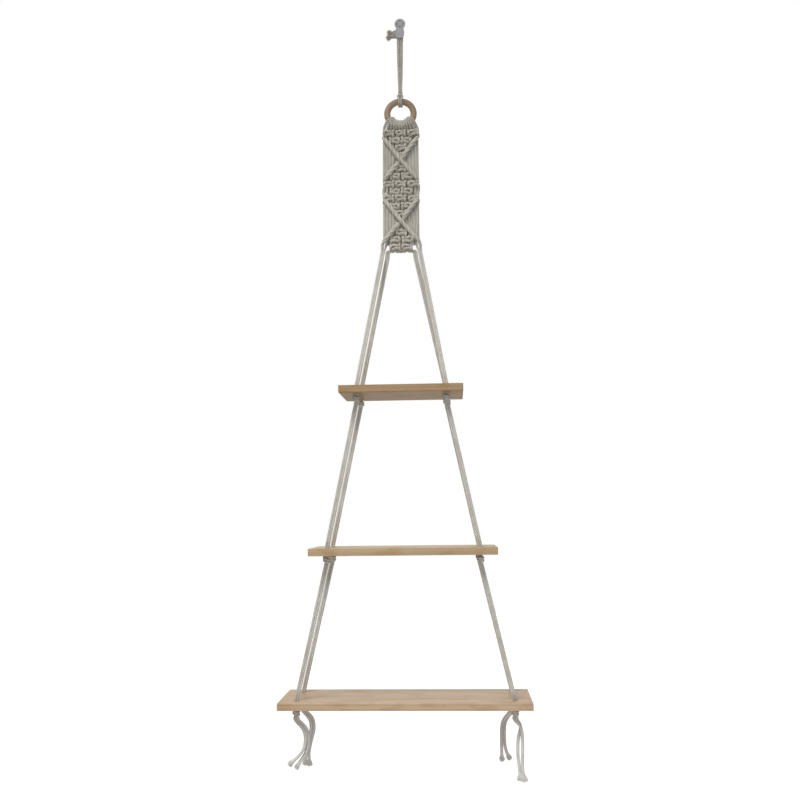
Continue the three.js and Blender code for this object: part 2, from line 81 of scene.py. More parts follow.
# The free cord ends below the bottom board: millimetres from each one's start under its knot, after a first
# step straight down
millimetre = 0.001
tail_start = [(0, 0, 0), (0, 0, -2.4)]
tail_routes = {
    "left_front_a": [
        (1.5, -0.9, -5.7), (6, -1.7, -10.5), (10.9, -1.8, -15.7), (14.6, -1.7, -21.7), (16.4, -1.6, -27.9),
        (16.9, -1.6, -34.3), (16.3, -1.6, -40.9), (14.6, -1.7, -47.3), (11.8, -1.8, -53.3),
        (7.7, -1.8, -58.5), (3.2, -1.8, -63.1), (-1.4, -1.6, -67.3), (-5.9, -1.4, -71.7),
    ],
    "left_front_b": [
        (1.4, 0.9, -5.7), (5.9, 1.7, -10.3), (10.9, 1.8, -15.3), (14.7, 1.7, -21.3), (16.7, 1.6, -27.7),
        (17.1, 1.6, -34.5), (16.7, 1.6, -41.7), (15, 1.7, -48.7), (12.6, 1.8, -55.3), (9.2, 1.8, -61.3),
        (5.6, 1.8, -66.7), (2.2, 1.8, -71.7), (-0.6, 1.8, -76.7),
    ],
    "left_back_a": [
        (1.8, -0.9, -5.7), (6.5, -1.7, -10.3), (10.9, -1.7, -15.5), (13.8, -1.2, -21.5),
        (14.9, -0.8, -27.9), (15, -0.6, -34.5), (14, -0.6, -41.3), (12.1, -0.6, -47.9), (10.3, -0.6, -54.5),
        (8.9, -0.6, -61.3), (7.3, -0.6, -67.9), (6.3, -0.6, -74.7), (5.6, -0.6, -81.7), (5.2, -0.6, -88.3),
    ],
    "left_back_b": [
        (1.6, 0.9, -5.7), (6.5, 1.7, -10.3), (11.2, 1.7, -15.3), (14, 1.2, -21.3), (15.2, 0.8, -27.7),
        (15.2, 0.6, -34.5), (14, 0.6, -41.3), (12.1, 0.6, -47.9), (10.3, 0.6, -54.5), (8.9, 0.6, -61.3),
        (7.5, 0.6, -68.1), (6.6, 0.6, -75.1), (6.9, 0.6, -82.3), (8, 0.6, -89.3),
    ],
    "right_front_a": [
        (1.5, -1.3, -5.2), (5.6, -2.4, -9.2), (9.2, -2.6, -13.7), (11.2, -2.5, -19.7), (12.1, -1.9, -26.7),
        (12.6, -1.2, -34.1), (12.6, -0.7, -41.7), (12.6, -0.5, -49.7), (12.3, -0.5, -57.7),
        (12, -0.5, -65.7), (11.8, -0.5, -73.1), (11.8, -0.5, -79.3), (12.3, -0.5, -85.1),
        (13.5, -0.5, -90.3), (14.6, -0.5, -94.5),
    ],
    "right_front_b": [
        (0.8, 1.3, -5.4), (3.2, 2.3, -9.4), (5, 2.5, -13.3), (5.4, 2.6, -16.7), (4.4, 2.5, -22.1),
        (2.7, 2.1, -28.7), (1.3, 1.5, -36.1), (0.6, 1, -43.7), (0.3, 0.7, -51.7), (0.4, 0.5, -59.7),
        (1, 0.5, -67.7), (1.9, 0.5, -75.3), (2.4, 0.5, -81.7), (2.9, 0.5, -87.7), (2.7, 0.5, -93.3),
    ],
    "right_back_a": [
        (-1.4, -0.9, -5.6), (-5.6, -1.7, -10), (-9.8, -1.7, -14.7), (-13.4, -1.2, -20.3),
        (-15.5, -0.8, -26.5), (-16.3, -0.6, -33.1), (-16.7, -0.5, -39.9), (-16.9, -0.5, -46.9),
        (-16.9, -0.5, -53.9), (-17, -0.5, -60.9), (-17, -0.5, -67.9), (-16.9, -0.5, -74.7),
        (-16.7, -0.5, -81.1),
    ],
    "right_back_b": [
        (-1.4, 0.9, -5.6), (-5.4, 1.7, -10.2), (-9.8, 1.7, -15.1), (-13.2, 1.2, -20.7), (-15.4, 0.8, -26.7),
        (-16.3, 0.6, -33.1), (-16.5, 0.5, -39.9), (-16.7, 0.5, -46.9), (-16.5, 0.5, -53.9),
        (-16, 0.5, -60.7), (-14.9, 0.5, -67.3), (-12.9, 0.5, -73.3), (-10.3, 0.5, -78.9),
    ],
}


def aimed(place, forward):
    """A matrix at a place, whose -Z axis looks forward and whose X axis is level."""
    back = -forward.normalized()
    right = Vector((0, 0, 1)).cross(back).normalized()
    turn = Matrix((right, back.cross(right), back)).transposed()
    return Matrix.Translation(place) @ turn.to_4x4()


def add_camera():
    """The camera that took the photograph."""
    level = math.cos(camera_pitch)
    forward = Vector((-math.sin(camera_turn) * level, math.cos(camera_turn) * level, math.sin(camera_pitch)))
    camera = bpy.data.objects.new("camera", bpy.data.cameras.new("camera"))
    camera.data.lens = camera_lens
    camera.data.shift_x, camera.data.shift_y = camera_shift
    camera.matrix_world = aimed(camera_place, forward) @ Matrix.Rotation(-camera_roll, 4, "Z")
    scene.collection.objects.link(camera)
    scene.camera = camera


def run_lengths(points):
    """How far along each of the points is."""
    steps = np.linalg.norm(np.diff(points, axis=0), axis=1)
    return np.concatenate([[0], np.cumsum(steps)])


def smooth_curve(points):
    """Points at an even step on a smooth curve, and where each lies in the list that was given."""
    points = np.array([tuple(point) for point in points])
    gaps = np.linalg.norm(np.diff(points, axis=0), axis=1)[:, None]
    slopes = np.diff(points, axis=0) / gaps
    inner = (slopes[:-1] * gaps[1:] + slopes[1:] * gaps[:-1]) / (gaps[:-1] + gaps[1:])
    tangents = np.vstack([slopes[:1], inner, slopes[-1:]])
    t = np.linspace(0, 1, curve_parts, endpoint=False)[None, :, None]
    start, end = points[:-1, None], points[1:, None]
    leave, arrive = tangents[:-1, None] * gaps[:, None], tangents[1:, None] * gaps[:, None]
    eased = t * t * (3 - 2 * t)
    fine = start + (end - start) * eased + leave * t * (1 - t) ** 2 - arrive * t * t * (1 - t)
    fine = np.vstack([fine.reshape(-1, 3), points[-1:]])
    origin = np.linspace(0, len(points) - 1, len(fine))
    along = run_lengths(fine)
    even = np.linspace(0, along[-1], max(2, round(along[-1] / cord_step)) + 1)
    places = np.column_stack([np.interp(even, along, fine[:, axis]) for axis in range(3)])
    return places, np.interp(even, along, origin)


def carried_frames(centres):
    """Two directions across a curve at each point, which turn no more than the curve makes them."""
    tangents = np.gradient(centres, axis=0)
    tangents /= np.linalg.norm(tangents, axis=1)[:, None]
    across = np.eye(3)[np.argmin(np.abs(tangents[0]))]
    carried = []
    for tangent in tangents:
        across = across - tangent * across.dot(tangent)
        across = across / np.linalg.norm(across)
        carried.append(across)
    carried = np.array(carried)
    return carried, np.cross(tangents, carried)


def lobed_section():
    """The outline of three plies, as shares of the cord's radius, starting in a valley."""
    shares = np.arange(ply_count * ply_sides) / (ply_count * ply_sides)
    return 1 - ply_depth_share * (1 - np.abs(np.sin(math.pi * ply_count * shares)))


def lay_turns(centres, lay):
    """How many turns the plies have made at each point of a curve."""
    steps = np.linalg.norm(np.diff(centres, axis=0), axis=1)
    return np.concatenate([[0], np.cumsum(steps / np.broadcast_to(lay, len(centres))[1:])])


cord_section = lobed_section()
yarn_section = np.ones(yarn_sides)


class Shell:
    """The corners, faces and texture places of a piece while it is made."""

    def __init__(self):
        self.corners = []
        self.faces = []
        self.places = []
        self.flat = []
        self.count = 0

    def add(self, corners, faces, places, flat_faces):
        """Adds corners and faces, the last few of which are flat."""
        self.corners.extend(corners)
        self.faces.extend([index + self.count for index in face] for face in faces)
        self.places.extend(places)
        self.flat.extend([False] * (len(faces) - flat_faces) + [True] * flat_faces)
        self.count += len(corners)


def tube_corners(centres, across, turns, radii, section):
    """The corners of a tube's rings, which follow the plies as they twist, and its ends' middles."""
    shares = np.arange(len(section)) / len(section)
    angles = 2 * math.pi * (shares[None, :] + turns[:, None])
    reach = section[None, :] * radii[:, None]
    first, second = across
    spread = np.cos(angles)[..., None] * first[:, None] + np.sin(angles)[..., None] * second[:, None]
    rings = centres[:, None] + reach[..., None] * spread
    return [*rings.reshape(-1, 3).tolist(), centres[0].tolist(), centres[-1].tolist()]


def ring_faces(rings, sides, closed=False):
    """The faces between rings of corners that are listed one after another."""
    faces = []
    for ring in range(rings if closed else rings - 1):
        near, far = ring * sides, (ring + 1) % rings * sides
        for side in range(sides):
            beside = (side + 1) % sides
            faces.append((near + side, near + beside, far + beside, far + side))
    return faces


def end_faces(rings, sides):
    """The faces that close a tube's ends, round the middles that are listed after its rings."""
    last = (rings - 1) * sides
    middle = rings * sides
    faces = [(middle, (side + 1) % sides, side) for side in range(sides)]
    return faces + [(middle + 1, last + side, last + (side + 1) % sides) for side in range(sides)]


def tube_places(turns, sides, plied):
    """The texture place of each corner of each of a tube's faces: turns along it and shares around it."""
    places = []
    for near, far in zip(turns, turns[1:]):
        for side in range(sides):
            v, w = (side / sides, (side + 1) / sides) if plied else (crown_place, crown_place)
            places.extend([(near, v), (near, w), (far, w), (far, v)])
    return places + [(turns[0], crown_place)] * 3 * sides + [(turns[-1], crown_place)] * 3 * sides


def add_tube(shell, centres, across, turns, radii, section):
    """Adds a closed tube round the centres."""
    rings, sides = len(centres), len(section)
    corners = tube_corners(centres, across, turns, radii, section)
    lids = end_faces(rings, sides)
    places = tube_places(turns, sides, section is cord_section)
    shell.add(corners, ring_faces(rings, sides) + lids, places, len(lids))


def add_cord(shell, points, radii, section=cord_section):
    """Adds a cord along a smooth curve through the points, and gives the middles of its rings."""
    centres, origin = smooth_curve(points)
    radii = np.interp(origin, np.arange(len(points)), np.broadcast_to(radii, len(points)))
    add_tube(shell, centres, carried_frames(centres), lay_turns(centres, lay_length), radii, section)
    return centres


def add_piece(name, mesh, material, body, nodes=()):
    """Makes a mesh a piece that rides on a body and stands for CAD nodes."""
    piece = bpy.data.objects.new(name, mesh)
    scene.collection.objects.link(piece)
    mesh.materials.append(material)
    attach(piece, body)
    if nodes:
        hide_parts(*nodes)
    return piece


def cotton_piece(name, shell, body, tone, nodes=()):
    """Makes a shell of cords a piece in one of the cotton's tones."""
    mesh = bpy.data.meshes.new(name)
    mesh.from_pydata(shell.corners, [], shell.faces)
    layer = mesh.uv_layers.new(name="Lay")
    layer.data.foreach_set("uv", np.array(shell.places).ravel())
    mesh.polygons.foreach_set("use_smooth", [not flat for flat in shell.flat])
    return add_piece(name, mesh, cotton_materials[tone], body, nodes)


# Everything from the peg to the foot of the band hangs along one leaning line
joint_places = {joint["name"]: Vector(joint["pos_m"]) for joint in frame["joints"]}
peg = joint_places["side_swing"]
ring_top = joint_places["forward_swing"]
lean = math.atan2(peg.y - ring_top.y, peg.z - ring_top.z)
hanging = Matrix.Translation(peg) @ Matrix.Rotation(-lean, 4, "X")
ring_drop = 0.155
ring_radius = 0.023
ring_bar_radius = 0.0055

# The band's strands, and how thick each lies where it is tight or free
strand_count = 12
strands_per_knot = 4
turn_radius = 0.0024
knot_radius = 0.0027
side_radius = 0.0028
side_share = 0.3
straight_shares = (0.05, 0.35, 0.65, 0.95)

# Their turns on the ring, in degrees round its bar from the fold behind it
fold_degrees = 45
turn_degrees = (75, 110, 145, 180, 215, 250, 285)
turn_spacing = math.radians(10)
turn_reach = ring_bar_radius + turn_radius

# Its knots in each row, measured down from the ring's centre
column_pitch = 0.021
upper_rows = (3, 2, 1, 1)
middle_rows = (1, 2, 3, 2, 3, 2, 1)
lower_rows = (1, 2, 2)
upper_drop = 0.0372
middle_drop = 0.103
lower_drop = 0.2186
upper_row_pitch = 0.0132
middle_row_pitch = 0.0135
lower_row_pitch = 0.01275
band_drop = 0.243

# Strands behind the knots that close the net between them
backing_depth = 0.0045
backing_share = 0.6
fan_depth = 0.0035
fan_reaches = (0.0255, 0.0205, 0.0155, 0.0105, 0.0055)
fan_drops = (0.0285, 0.0405)

# A strand behind each edge of a net, where light would show: its ends, as reach and drop
edge_ways = {
    "upper": ((0.0205, 0.0205), (0.0205, 0.0405)),
    "middle": ((0.0264, 0.1235), (0.0264, 0.142)),
    "lower": ((0.0192, 0.2145), (0.0213, 0.2385)),
}

# How unevenly the knots are tied: most shift, turn in radians and growth of each
knot_shift = 0.0008
knot_sink = 0.001
knot_turn = 0.12
knot_growth = 0.08
knot_seed = 5

# A square knot's four ways, from left to right, in strand widths across and rows' heights down
knot_width = 0.0046
knot_depth = 0.0034
knot_rise = 0.0035
left_half_shares = [
    (-1.7, 0.1, 1.8), (-1.6, -0.1, 1.5), (-1.35, -0.35, 1.2), (-0.95, -0.75, 1.05), (-0.35, -1.2, 0.9),
    (0.35, -1.2, 0.68), (0.95, -0.7, 0.5), (1.35, -0.1, 0.35),
]
left_way_shares = [*left_half_shares, (1.55, 0.2, 0), *((x, y, -z) for x, y, z in reversed(left_half_shares))]
right_way_shares = [
    (1.7, -0.1, 1.8), (1.7, -0.7, 1.45), (1.65, -1.25, 0.9), (1.6, -0.9, 0.35), (1.3, 0.3, 0.15),
    (0.8, 1, 0.3), (0, 1.15, 0.4), (-0.6, 1.05, 0.75), (-1.1, 0.5, 1), (-1.45, -0.5, 0.95),
    (-1.6, -1.3, 0.55), (-1.62, -1.4, 0), (-1.6, -1.3, -0.5), (-1.5, -0.7, -0.9), (-1.3, 0, -1.1),
    (-0.8, 0.9, -0.95), (0, 1.15, -0.8), (0.6, 1.05, -0.7), (1.1, 0.4, -0.4), (1.4, -0.5, -0.3),
    (1.65, -1.25, -0.6), (1.7, -0.9, -1.3), (1.7, -0.1, -1.8),
]
filler_way_shares = [(0, 0, 1.8), (0, 0.1, 0), (0, 0, -1.8)]
filler_offset_share = 0.6

# The two thick cords of each cross, which lie in front of the side strands
cross_radius = 0.004
cross_end_radius = 0.0032
cross_lay = 0.034
cross_shares = (0.25, 0.55, 0.82)
cross_depth = 0.0068
cross_end_depth = 0.0046
over_depth = 0.008
under_depth = 0.001
crosses = {
    "upper": {"top": -0.048, "middle": -0.0885, "bottom": -0.1225, "top_reach": 0.028, "bottom_reach": 0.028},
    "lower": {"top": -0.161, "middle": -0.199, "bottom": -0.236, "top_reach": 0.028, "bottom_reach": 0.0305},
}

# The side strands: how far out each runs, and how it slips behind a thick cord
side_reaches = [0.0284, 0.023, 0.0176, 0.0122, 0.0068]
slip_inward = 0.0038
slip_depth = 0.0018
seat_depth = 0.0012
seat_fall = 0.0015
slip_fall = 0.0065

# The ropes' upper ends at the band's foot, and the board's hole and side of it for each strand
front_rope_reach = 0.03
back_rope_reach = 0.02
foot_share = 0.03
foot_slip_reach = 0.0268
rope_ends = {
    0: ("left_front", -1), 1: ("left_front", 1), 2: ("left_back", -1), 3: ("left_back", 1),
    8: ("right_back", -1), 9: ("right_back", 1), 10: ("right_front", -1), 11: ("right_front", 1),
}

# How the other strands end, tucked in behind: share of the reach, depth and drop
tuck_stops = [(1, 0.0035, 0.25), (0.7, 0.005, 0.245)]


def net_knots(counts, first_drop, pitch):
    """The knots of a net: the first of each one's four strands, its frame, and whether it is mirrored."""
    draw = random.Random(knot_seed)
    knots = []
    for row, count in enumerate(counts):
        for i in range(count):
            first = strand_count // 2 - strands_per_knot * count // 2 + strands_per_knot * i
            x = (i - (count - 1) / 2) * column_pitch + draw.uniform(-knot_shift, knot_shift)
            z = -first_drop - row * pitch + draw.uniform(-knot_sink, knot_sink)
            growth = 1 + draw.uniform(-knot_growth, knot_growth)
            turn = Matrix.Rotation(draw.uniform(-knot_turn, knot_turn), 4, "Y")
            handed = Matrix.Diagonal(((-1) ** row * growth, growth, growth, 1))
            knots.append((first, Matrix.Translation((x, 0, z)) @ turn @ handed, row % 2 == 1))
    return knots


nets = {
    "upper": (upper_rows, upper_drop, upper_row_pitch),
    "middle": (middle_rows, middle_drop, middle_row_pitch),
    "lower": (lower_rows, lower_drop, lower_row_pitch),
}
knots = {level: net_knots(*sizes) for level, sizes in nets.items()}


def net_route(place, level):
    """The way through a net of the strand at a place, counted from the left, with its node."""
    left_filler = [(x - filler_offset_share, y, z) for x, y, z in filler_way_shares]
    right_filler = [(x + filler_offset_share, y, z) for x, y, z in filler_way_shares]
    ways = [left_way_shares, left_filler, right_filler, right_way_shares]
    points = []
    for first, knot, mirrored in knots[level]:
        if 0 <= place - first < strands_per_knot:
            way = ways[first - place - 1 if mirrored else place - first]
            points += [knot @ Vector((a * knot_width, b * knot_depth, c * knot_rise)) for a, b, c in way]
    return [(point, knot_radius, f"band_{level}_net") for point in points]


def ring_way(index):
    """A strand's way from the fold behind the ring, up its back, over it and down its front."""
    middle = (strand_count - 1) / 2
    own = (index - middle) * turn_spacing
    fold = (2 * (index // 2) + 0.5 - middle) * turn_spacing
    points = []
    for angle, turn in [(fold, fold_degrees), *((own, degrees) for degrees in turn_degrees)]:
        out = ring_radius + turn_reach * math.cos(math.radians(turn))
        depth = turn_reach * math.sin(math.radians(turn))
        points.append(Vector((out * math.sin(angle), depth, -out * math.cos(angle))))
    return points


def cross_height(level, upper, reach):
    """How high a thick cord of a cross is at a distance from the band's middle."""
    cross = crosses[level]
    end, whole = (cross["top"], cross["top_reach"]) if upper else (cross["bottom"], cross["bottom_reach"])
    return cross["middle"] + (end - cross["middle"]) * reach / whole


def cross_way(level, over):
    """A thick cord from its upper end, past the other one, to its lower end."""
    side = -1 if over else 1
    arms = []
    for upper, sign in ((True, side), (False, -side)):
        whole = crosses[level]["top_reach" if upper else "bottom_reach"]
        arm = [Vector((sign * whole, -cross_end_depth, cross_height(level, upper, whole)))]
        for share in reversed(cross_shares):
            reach = whole * share
            arm.append(Vector((sign * reach, -cross_depth, cross_height(level, upper, reach))))
        arms.append(arm)
    middle = Vector((0, -over_depth if over else -under_depth, crosses[level]["middle"]))
    return [*arms[0], middle, *reversed(arms[1])]


def thick_route(level, over):
    """A thick cord's way through a cross, with its node."""
    way = cross_way(level, over)
    radii = [cross_end_radius, *[cross_radius] * (len(way) - 2), cross_end_radius]
    node = f"band_{level}_{'over' if over else 'under'}_cord"
    return [(point, radius, node) for point, radius in zip(way, radii)]


def side_route(level, side, reach):
    """A side strand's way past a cross, with its node. Both its ends slip behind the thick cord."""
    high, low = cross_height(level, True, reach), cross_height(level, False, reach)
    slip = reach - slip_inward
    first, last = high - slip_fall, low + slip_fall
    places = [
        (slip, slip_depth, cross_height(level, True, slip)), (reach, seat_depth, high - seat_fall),
        (reach, 0, first), (reach, 0, first + (last - first) * side_share),
        (reach, 0, last + (first - last) * side_share), (reach, 0, last),
        (reach, seat_depth, low + seat_fall), (slip, slip_depth, cross_height(level, False, slip)),
    ]
    node = f"band_{level}_{'left' if side < 0 else 'right'}_strands"
    return [(Vector((side * x, y, z)), side_radius, node) for x, y, z in places]


def cross_route(place, level):
    """The way through a cross of the strand at a place: the outermost two are the thick cords."""
    side = -1 if place < strand_count / 2 else 1
    rank = min(place, strand_count - 1 - place)
    return thick_route(level, side < 0) if rank == 0 else side_route(level, side, side_reaches[rank - 1])


def holes(level):
    """The places of a board's four holes, on its top face."""
    low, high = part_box(f"{level}_shelf")
    left, right = low.x + hole_inset, high.x - hole_inset
    front, back = low.y + hole_inset, high.y - hole_inset
    places = {}
    for side, x in (("left", left), ("right", right)):
        for end, y in (("front", front), ("back", back)):
            places[f"{side}_{end}"] = Vector((x, y, high.z))
    return places


def board_thickness(level):
    """How thick a board is."""
    low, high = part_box(f"{level}_shelf")
    return high.z - low.z


def rope_way(start, end):
    """A taut strand, with points near its ends that keep it straight."""
    return [start, *(start.lerp(end, share) for share in straight_shares), end]


def band_place(point):
    """A point of the band, given from the ring's centre, on the leaning line."""
    point = Vector(point)
    return hanging @ Vector((point.x, point.y, point.z - ring_drop))


def foot_route(place):
    """A strand's way from the band's foot down to the top board, or its end, tucked in behind."""
    if place not in rope_ends:
        x = (place - (strand_count - 1) / 2) * pair_pitch
        tucked = [(x * share, depth, -drop) for share, depth, drop in tuck_stops]
        return [(band_place(point), knot_radius, "band_lower_net") for point in tucked]
    name, beside = rope_ends[place]
    shift = Vector((beside * pair_pitch / 2, 0, 0))
    reach = front_rope_reach if name.endswith("front") else back_rope_reach
    sign = -1 if name.startswith("left") else 1
    foot = band_place((sign * reach, 0, -band_drop)) + shift
    hole = holes("top")[name] + shift
    points = [*rope_way(foot.lerp(hole, foot_share), hole), hole - Vector((0, 0, board_thickness("top") / 2))]
    if place in (1, strand_count - 2):
        points.insert(0, band_place((sign * foot_slip_reach, 0, -band_drop)))
    return [(point, cord_radius, f"top_rope_{name}") for point in points]


def strand_route(index):
    """A strand's whole way, from the ring to the top board. The outermost two change sides at each cross."""
    other = strand_count - 1 - index
    swapped = other if index in (0, strand_count - 1) else index
    parts = [(point, turn_radius, "band_upper_net") for point in ring_way(index)]
    parts += net_route(index, "upper") + cross_route(index, "upper")
    parts += net_route(swapped, "middle") + cross_route(swapped, "lower")
    parts += net_route(index, "lower")
    return [(band_place(point), radius, node) for point, radius, node in parts] + foot_route(index)


def add_runs(shells, route):
    """Adds a strand to the shell of each node that its way passes through."""
    points, radii, nodes = zip(*route)
    centres, origin = smooth_curve(points)
    radii = np.interp(origin, np.arange(len(points)), radii)
    lays = [cross_lay if node.endswith("_cord") else lay_length for node in nodes]
    first, second = carried_frames(centres)
    turns = lay_turns(centres, np.interp(origin, np.arange(len(points)), lays))
    owners = [nodes[min(int(place), len(nodes) - 2)] for place in origin]
    start = 0
    for i in range(1, len(owners)):
        if i == len(owners) - 1 or owners[i] != owners[start]:
            part = slice(start, i + 1)
            shell = shells.setdefault(owners[start], Shell())
            across = first[part], second[part]
            add_tube(shell, centres[part], across, turns[part], radii[part], cord_section)
            start = i


def add_hidden_strand(shell, *ends):
    """A straight strand behind the band, between two of its places."""
    add_cord(shell, rope_way(*(band_place(end) for end in ends)), knot_radius)


def add_backing(shell, counts, first_drop, pitch):
    """The strands seen between the knots of each row, and beside a row that is shorter than others."""
    for row, count in enumerate(counts):
        drop = first_drop + row * pitch
        for i in range(count + 1):
            if 0 < i < count or count < max(counts):
                x = (i - count / 2) * column_pitch
                heights = (side * backing_share * pitch - drop for side in (1, -1))
                add_hidden_strand(shell, *((x, backing_depth, height) for height in heights))


def add_fan_backing(shell):
    """The halves of the folds that go down behind the others, under the ring."""
    for reach in (side * reach for reach in fan_reaches for side in (-1, 1)):
        add_hidden_strand(shell, *((reach, fan_depth, -drop) for drop in fan_drops))


def add_edge_strands(shell, way):
    """A strand behind each edge of a net."""
    for side in (-1, 1):
        add_hidden_strand(shell, *((side * reach, backing_depth, -drop) for reach, drop in way))


def add_band():
    """The band and the ropes under it, strand by strand."""
    shells = {}
    for index in range(strand_count):
        add_runs(shells, strand_route(index))
    for level, sizes in nets.items():
        add_backing(shells[f"band_{level}_net"], *sizes)
        add_edge_strands(shells[f"band_{level}_net"], edge_ways[level])
    add_fan_backing(shells["band_upper_net"])
    for node, shell in shells.items():
        tone = "rope" if node.startswith("top") else "band"
        cotton_piece(f"cotton_{node}", shell, "upper_frame", tone, [node])


# The hanging loop: its bight on the peg, and its two legs, as reach and height from the peg
loop_radius = 0.0031
bight_reach = 0.0049
bight_degrees = (135, 110, 90, 65, 40, 15)
leg_places = [
    (0.0048, -0.002), (0.0041, -0.006), (0.0032, -0.011), (0.0027, -0.02), (0.0025, -0.05), (0.0022, -0.07),
    (0.0018, -0.09), (0.0014, -0.108),
]
left_leg_start = 2
thin_start_drop = 0.011
leg_end_drop = 0.119

# Its hitch on the ring: the reach at degrees round the ring's bar, then reach, depth and rise in front
hitch_radius = 0.0023
hitch_start = (0.0018, 0.0006)
hitch_turns = [
    (50, 0.0018), (90, 0.0019), (135, 0.0019), (180, 0.0019), (225, 0.0019), (270, 0.002), (300, 0.0024),
]
hitch_bar = [(0.0036, -0.0048, -0.0015), (0.0024, -0.0052, 0.0006)]
hitch_middle = (0, -0.0053, 0.001)
hitch_drop = 0.1228
ring_top_drop = ring_drop - ring_radius

# Its two ends and its own knot, to the left of the peg
upper_end_way = [
    (-0.006, 0, 0.0012), (-0.0088, 0.0002, 0), (-0.0116, 0.0004, -0.0008), (-0.0144, 0.0006, -0.0004),
    (-0.0172, 0.0006, 0.0006),
]
lower_end_way = [
    (-0.0056, 0, -0.0075), (-0.009, 0, -0.0064), (-0.0125, -0.0002, -0.0066), (-0.0158, -0.0006, -0.0078),
    (-0.019, -0.0008, -0.0095),
]
loop_knot_middle = Vector((-0.0088, 0, -0.0034))
loop_knot_radius = 0.0025
loop_knot_pitch = 0.0038
loop_knot = {"reach": 0.0048, "start": 0.6, "turns": 1.1, "tilt": 0.3, "rise": 0.001}
loop_fray_seed = 40

# A knot's turns: how many points each has, and how its ends hide in the knot's core
wrap_points = 8
hidden_points = 2
hidden_share = 0.55


def hitch_side():
    """The right half of the hitch: from the leg's end, round the ring's bar and up in front."""
    turn = []
    for degrees, reach in hitch_turns:
        angle = math.radians(degrees)
        out = turn_reach * math.cos(angle)
        turn.append((reach, turn_reach * math.sin(angle), out - ring_top_drop))
    return [(*hitch_start, -leg_end_drop), *turn, *((x, y, rise - hitch_drop) for x, y, rise in hitch_bar)]


def loop_way():
    """One cord from its upper end, over the peg, down, round the ring and up again to its lower end."""
    bight = []
    for angle in (math.radians(degrees) for degrees in bight_degrees):
        bight.append((bight_reach * math.cos(angle), 0, bight_reach * math.sin(angle)))
    right = [*((x, 0, z) for x, z in leg_places), *hitch_side()]
    left = [(-x, y, z) for x, y, z in reversed(right[left_leg_start:])]
    x, y, rise = hitch_middle
    points = [*reversed(upper_end_way), *bight, *right, (x, y, rise - hitch_drop), *left, *lower_end_way]
    drops = [-z for _, _, z in points]
    radii = np.interp(drops, [thin_start_drop, leg_end_drop], [loop_radius, hitch_radius])
    return [hanging @ Vector(point) for point in points], radii


def wrapped_way(middle, axis, beside, reach, start, turns, tilt, rise):
    """A strand wound round a knot's core, with both its ends hidden in the core."""
    first = axis.orthogonal().normalized()
    second = axis.cross(first)
    count = round(turns * wrap_points)
    points = []
    for i in range(-hidden_points, count + hidden_points + 1):
        share = min(max(i / count, 0), 1)
        angle = start + 2 * math.pi * turns * i / count
        shown = 1 if 0 <= i <= count else hidden_share
        out = (first * math.cos(angle) + second * math.sin(angle)) * reach * shown
        slant = reach * math.sin(angle) * math.tan(tilt)
        points.append(middle + out + axis * (beside + slant + (share - 0.5) * rise))
    return points


# Loose yarns at a cut end
fray_count = 150
fray_root = 0.009
fray_reaches = (0.001, 0.006)
fray_spread = 0.003
fray_bend_share = 0.55
fray_radii = (0.00028, 0.00042)
fray_tip_share = 0.5


def add_fray(shell, end, before, radius, seed):
    """The loose yarns at the end of a cord that comes from a point before it, spread like a brush."""
    draw = random.Random(seed)
    direction = (end - before).normalized()
    first = direction.orthogonal().normalized()
    second = direction.cross(first)
    for _ in range(fray_count):
        angle = draw.uniform(0, 2 * math.pi)
        share = math.sqrt(draw.random())
        out = (first * math.cos(angle) + second * math.sin(angle)) * share
        root = end - direction * fray_root + out * radius * (1 - ply_depth_share)
        tip = end + direction * draw.uniform(*fray_reaches) + out * (radius + draw.uniform(0, fray_spread))
        bend = root.lerp(tip, fray_bend_share) - out * draw.uniform(0, fray_spread) * fray_tip_share
        thick = draw.uniform(*fray_radii)
        add_cord(shell, [root, bend, tip], [thick, thick, thick * fray_tip_share], yarn_section)


def add_loop():
    """The hanging loop, with its knot and its two frayed ends."""
    shell = Shell()
    way, radii = loop_way()
    add_cord(shell, way, radii)
    middle = hanging @ loop_knot_middle
    for side in (-1, 1):
        turns = wrapped_way(middle, Vector((1, 0, 0)), side * loop_knot_pitch / 2, **loop_knot)
        add_cord(shell, turns, loop_knot_radius)
    add_fray(shell, way[0], way[1], loop_radius, loop_fray_seed)
    add_fray(shell, way[-1], way[-2], loop_radius, loop_fray_seed + 1)
    cotton_piece("loop_cord", shell, "loop", "band", ["hanging_loop"])


# The knots under the boards, each turned from the one before
fill_depth = 0.0006
knot_pitch = 0.0037
knot_turn_radius = 0.00195
knot_start_share = 0.2
knot_start_step = 0.5
board_knot = {"reach": 0.0045, "turns": 1.15, "tilt": 0.42, "rise": -0.0016}


def add_board_knots(level, body):
    """The strands that fill each hole of a board and the knot they make under it."""
    for i, (place, hole) in enumerate(holes(level).items()):
        shell = Shell()
        top = hole.z - board_thickness(level) - seat_gap
        middle = Vector((hole.x, hole.y, top - knot_height / 2))
        start = math.pi * (knot_start_share + knot_start_step * i)
        for side in (-1, 1):
            x = hole.x + side * pair_pitch / 2
            ends = (Vector((x, hole.y, z)) for z in (hole.z - fill_depth, top - knot_height))
            add_cord(shell, rope_way(*ends), cord_radius)
            turns = wrapped_way(middle, Vector((0, 0, 1)), side * knot_pitch / 2, start=start, **board_knot)
            add_cord(shell, turns, knot_turn_radius)
        cotton_piece(f"cotton_{level}_knot_{place}", shell, body, "rope", [f"{level}_knot_{place}"])


# How deep a rope's ends lie in the knot above it and the board below it
rope_end_depth = 0.001


